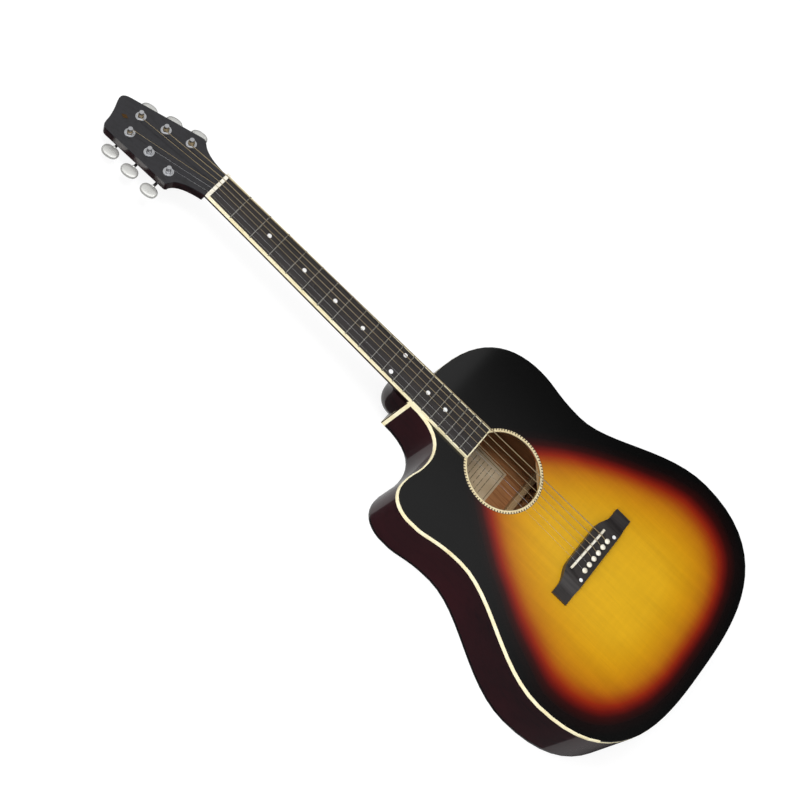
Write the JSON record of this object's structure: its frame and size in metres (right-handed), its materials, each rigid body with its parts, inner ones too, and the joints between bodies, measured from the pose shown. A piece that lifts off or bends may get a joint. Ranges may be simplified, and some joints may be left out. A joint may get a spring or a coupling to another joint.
{
  "type": "left-handed acoustic guitar",
  "caption": "Left-handed dreadnought acoustic guitar with a cutaway, sunburst top, bound fingerboard, slanted saddle and geared tuners on a bolt-free glued neck.",
  "frame": {"origin": "centre line of the body, on the outside of the flat back, under the saddle line", "axes": "+Y along the neck to the head, +Z out of the soundboard away from the back, +X to the bass side"},
  "size_m": [0.411, 1.043, 0.1106],
  "materials": {
    "sunburst_top": "high gloss sunburst over spruce",
    "back_wood": "high gloss dark red-brown outside",
    "side_wood": "high gloss dark red-brown",
    "inner_wood": "unfinished",
    "cream_trim": "polished cream plastic",
    "black_trim": "polished black plastic",
    "rosette_ring": "cream rope pattern ring",
    "label_paper": "plain printed border, no text",
    "dark_wood": "dark stained, satin",
    "bone_white": "polished off-white",
    "pearl": "pearl white",
    "neck_wood": "high gloss dark red-brown",
    "head_face": "gloss black face veneer",
    "gold_metal": "thin gold coloured inlay",
    "fret_metal": "polished nickel silver",
    "rod_steel": "plain steel",
    "chrome_metal": "polished chrome",
    "button_metal": "satin chrome",
    "plain_string": "plain steel wire",
    "wound_string": "bronze wound wire"
  },
  "bodies": {
    "guitar": {"soundboard": "sunburst_top", "back": "back_wood", "side_bass": "side_wood", "side_treble": "side_wood", "neck_block": "inner_wood", "tail_block": "inner_wood", "top_lining": "inner_wood", "back_lining": "inner_wood", "top_binding": "cream_trim", "back_binding": "black_trim", "cutaway_strip": "cream_trim", "rosette": "rosette_ring", "top_braces": "inner_wood", "bridge_plate": "inner_wood", "back_braces": "inner_wood", "paper_label": "label_paper", "bridge": "dark_wood", "saddle": "bone_white", "bridge_pins": "bone_white", "pearl_dots": "pearl", "neck_shaft": "neck_wood", "headstock": "neck_wood", "neck_heel": "neck_wood", "heel_cap": "black_trim", "headstock_veneer": "head_face", "headstock_inlay": "gold_metal", "fingerboard": "dark_wood", "fingerboard_binding": "cream_trim", "frets": "fret_metal", "nut": "bone_white", "truss_rod": "rod_steel", "tuner_housings": "chrome_metal", "tuner_covers": "chrome_metal", "tuner_bushings": "chrome_metal", "tuner_screws": "chrome_metal", "string_1": "plain_string", "string_2": "plain_string", "string_3": "wound_string", "string_4": "wound_string", "string_5": "wound_string", "string_6": "wound_string"},
    "truss_nut": {"truss_rod_nut": "rod_steel"},
    "post_1": {"tuner_1_post": "chrome_metal"},
    "knob_1": {"tuner_1_worm": "chrome_metal", "tuner_1_button": "button_metal"},
    "post_2": {"tuner_2_post": "chrome_metal"},
    "knob_2": {"tuner_2_worm": "chrome_metal", "tuner_2_button": "button_metal"},
    "post_3": {"tuner_3_post": "chrome_metal"},
    "knob_3": {"tuner_3_worm": "chrome_metal", "tuner_3_button": "button_metal"},
    "post_4": {"tuner_4_post": "chrome_metal"},
    "knob_4": {"tuner_4_worm": "chrome_metal", "tuner_4_button": "button_metal"},
    "post_5": {"tuner_5_post": "chrome_metal"},
    "knob_5": {"tuner_5_worm": "chrome_metal", "tuner_5_button": "button_metal"},
    "post_6": {"tuner_6_post": "chrome_metal"},
    "knob_6": {"tuner_6_worm": "chrome_metal", "tuner_6_button": "button_metal"}
  },
  "joints": [
    {"name": "knob_1_turn", "type": "hinge", "parent": "guitar", "child": "knob_1", "pos_m": [-0.0465, 0.70611, 0.04192], "axis": [1, 0, 0], "continuous": true},
    {"name": "post_1_turn", "type": "hinge", "parent": "guitar", "child": "post_1", "pos_m": [-0.0265, 0.70538, 0.06199], "axis": [0, 0.289, 0.9573], "continuous": true},
    {"name": "knob_2_turn", "type": "hinge", "parent": "guitar", "child": "knob_2", "pos_m": [-0.0405, 0.74057, 0.03152], "axis": [1, 0, 0], "continuous": true},
    {"name": "post_2_turn", "type": "hinge", "parent": "guitar", "child": "post_2", "pos_m": [-0.0205, 0.73984, 0.05159], "axis": [0, 0.289, 0.9573], "continuous": true},
    {"name": "knob_3_turn", "type": "hinge", "parent": "guitar", "child": "knob_3", "pos_m": [-0.0345, 0.77503, 0.02111], "axis": [1, 0, 0], "continuous": true},
    {"name": "post_3_turn", "type": "hinge", "parent": "guitar", "child": "post_3", "pos_m": [-0.0145, 0.7743, 0.04118], "axis": [0, 0.289, 0.9573], "continuous": true},
    {"name": "knob_4_turn", "type": "hinge", "parent": "guitar", "child": "knob_4", "pos_m": [0.035, 0.78078, 0.01938], "axis": [1, 0, 0], "continuous": true},
    {"name": "post_4_turn", "type": "hinge", "parent": "guitar", "child": "post_4", "pos_m": [0.015, 0.78005, 0.03945], "axis": [0, 0.289, 0.9573], "continuous": true},
    {"name": "knob_5_turn", "type": "hinge", "parent": "guitar", "child": "knob_5", "pos_m": [0.041, 0.74631, 0.02978], "axis": [1, 0, 0], "continuous": true},
    {"name": "post_5_turn", "type": "hinge", "parent": "guitar", "child": "post_5", "pos_m": [0.021, 0.74558, 0.04985], "axis": [0, 0.289, 0.9573], "continuous": true},
    {"name": "knob_6_turn", "type": "hinge", "parent": "guitar", "child": "knob_6", "pos_m": [0.047, 0.71185, 0.04019], "axis": [1, 0, 0], "continuous": true},
    {"name": "post_6_turn", "type": "hinge", "parent": "guitar", "child": "post_6", "pos_m": [0.027, 0.71112, 0.06026], "axis": [0, 0.289, 0.9573], "continuous": true},
    {"name": "truss_nut_turn", "type": "hinge", "parent": "guitar", "child": "truss_nut", "pos_m": [0, 0.22965, 0.08233], "axis": [0, 0.9995, -0.0314], "range_deg": [-180, 180]}
  ],
  "couplings": [
    {"joint": "post_1_turn", "follows": "knob_1_turn", "ratio": -0.071429},
    {"joint": "post_2_turn", "follows": "knob_2_turn", "ratio": -0.071429},
    {"joint": "post_3_turn", "follows": "knob_3_turn", "ratio": -0.071429},
    {"joint": "post_4_turn", "follows": "knob_4_turn", "ratio": 0.071429},
    {"joint": "post_5_turn", "follows": "knob_5_turn", "ratio": 0.071429},
    {"joint": "post_6_turn", "follows": "knob_6_turn", "ratio": 0.071429}
  ]
}
